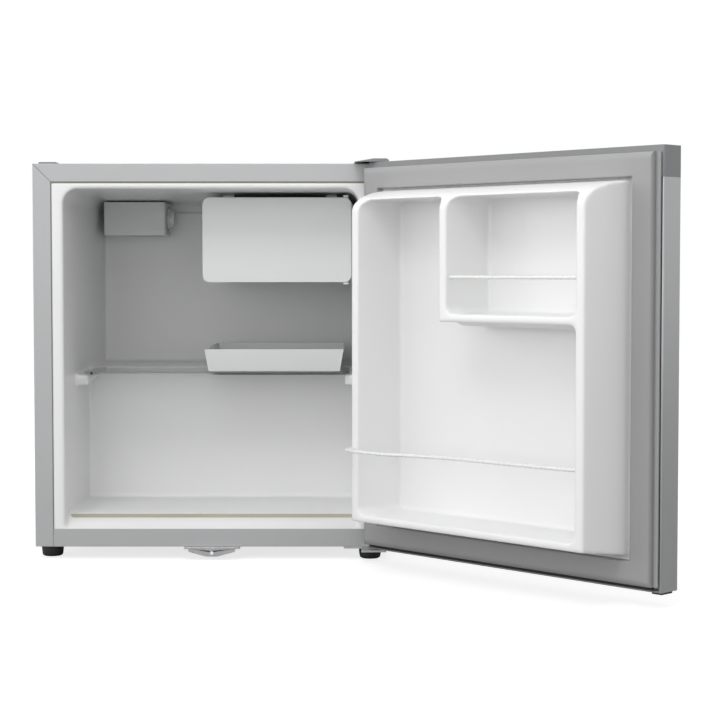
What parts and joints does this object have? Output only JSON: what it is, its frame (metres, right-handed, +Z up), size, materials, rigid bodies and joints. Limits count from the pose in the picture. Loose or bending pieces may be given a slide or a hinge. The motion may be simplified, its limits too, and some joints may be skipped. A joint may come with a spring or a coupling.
{
  "type": "mini fridge",
  "caption": "Compact refrigerator with a hinged door, glass shelf, drip tray, small chiller flap and levelling feet.",
  "frame": {"origin": "middle of the cabinet's flat underside, at the height of the cabinet's bottom panel; the feet reach below it", "axes": "+Z up, +Y towards the back of the cabinet, +X to the hinge side of the door"},
  "size_m": [0.752, 0.7736, 0.501],
  "materials": {
    "painted_steel": "satin silver paint",
    "zinc_steel": "bare zinc-coated steel",
    "white_liner": "smooth vacuum-formed polystyrene",
    "foam": "rigid polyurethane foam",
    "aluminium_sheet": "roll-bonded sheet",
    "white_plastic": "smooth moulded",
    "copper": "drawn copper tube",
    "black_enamel": "black enamel",
    "black_rubber": "matte",
    "black_plastic": "fine grain",
    "bright_steel": "plated",
    "dark_grey_plastic": "fine grain",
    "silver_skin": "silver laminate with a fine vertical brush",
    "gasket_grey": "soft vinyl",
    "magnet": "flexible magnet strip",
    "coated_wire": "white coated wire",
    "clear_glass": "clear float glass with ground edges"
  },
  "bodies": {
    "cabinet": {"outer_shell": "painted_steel", "front_bottom_rail": "painted_steel", "base_panel": "zinc_steel", "back_panel": "zinc_steel", "bay_panel": "zinc_steel", "cabinet_liner": "white_liner", "cabinet_foam": "foam", "evaporator": "aluminium_sheet", "evaporator_clips": "white_plastic", "chiller_frame": "white_plastic", "control_box": "white_plastic", "thermostat": "zinc_steel", "sensing_tube": "white_plastic", "compressor": "black_enamel", "compressor_plate": "zinc_steel", "compressor_grommets": "black_rubber", "compressor_bolts": "zinc_steel", "relay_box": "black_plastic", "cord_gland": "black_plastic", "condenser_tube": "black_enamel", "condenser_wires": "black_enamel", "condenser_clips": "white_plastic", "wall_spacers": "black_plastic", "filter_drier": "copper", "suction_tube": "copper", "discharge_tube": "copper", "drip_pan": "black_plastic", "drain_spout": "white_plastic", "top_hinge": "bright_steel", "top_hinge_cover": "dark_grey_plastic", "bottom_hinge": "bright_steel", "hinge_screws": "bright_steel", "hinge_hole_cap": "dark_grey_plastic", "catch_bracket": "bright_steel", "rear_feet": "black_plastic"},
    "door": {"door_skin": "silver_skin", "door_top_cap": "dark_grey_plastic", "door_bottom_cap": "dark_grey_plastic", "door_liner": "white_liner", "door_foam": "foam", "dyke_core": "foam", "door_gasket": "gasket_grey", "gasket_magnets": "magnet", "upper_door_bar": "coated_wire", "lower_door_bar": "coated_wire", "hinge_bushes": "white_plastic", "door_pad": "black_rubber"},
    "flap": {"chiller_flap": "white_plastic"},
    "tray": {"drip_tray": "white_plastic"},
    "shelf": {"glass_shelf": "clear_glass"},
    "knob": {"thermostat_knob": "white_plastic"},
    "left_foot": {"front_left_foot": "black_plastic"},
    "right_foot": {"front_right_foot": "black_plastic"}
  },
  "joints": [
    {"name": "door_hinge", "type": "hinge", "parent": "cabinet", "child": "door", "pos_m": [0.212, -0.2155, 0.24], "axis": [0, 0, 1], "range_deg": [-134.33, 0]},
    {"name": "flap_hinge", "type": "hinge", "parent": "cabinet", "child": "flap", "pos_m": [0.168, -0.115, 0.387], "axis": [0, 0, 1], "range_deg": [0, 88]},
    {"name": "tray_slide", "type": "slide", "parent": "cabinet", "child": "tray", "axis": [0, -1, 0], "range_m": [0, 0.18]},
    {"name": "shelf_slide", "type": "slide", "parent": "cabinet", "child": "shelf", "axis": [0, -1, 0], "range_m": [0, 0.1]},
    {"name": "knob_turn", "type": "hinge", "parent": "cabinet", "child": "knob", "pos_m": [-0.086, 0.108, 0.4213], "axis": [1, 0, 0], "range_deg": [0, 270]},
    {"name": "left_foot_screw", "type": "hinge", "parent": "cabinet", "child": "left_foot", "pos_m": [-0.2065, -0.1585, -0.007], "axis": [0, 0, 1], "continuous": true},
    {"name": "right_foot_screw", "type": "hinge", "parent": "cabinet", "child": "right_foot", "pos_m": [0.199, -0.1785, -0.007], "axis": [0, 0, 1], "continuous": true}
  ]
}
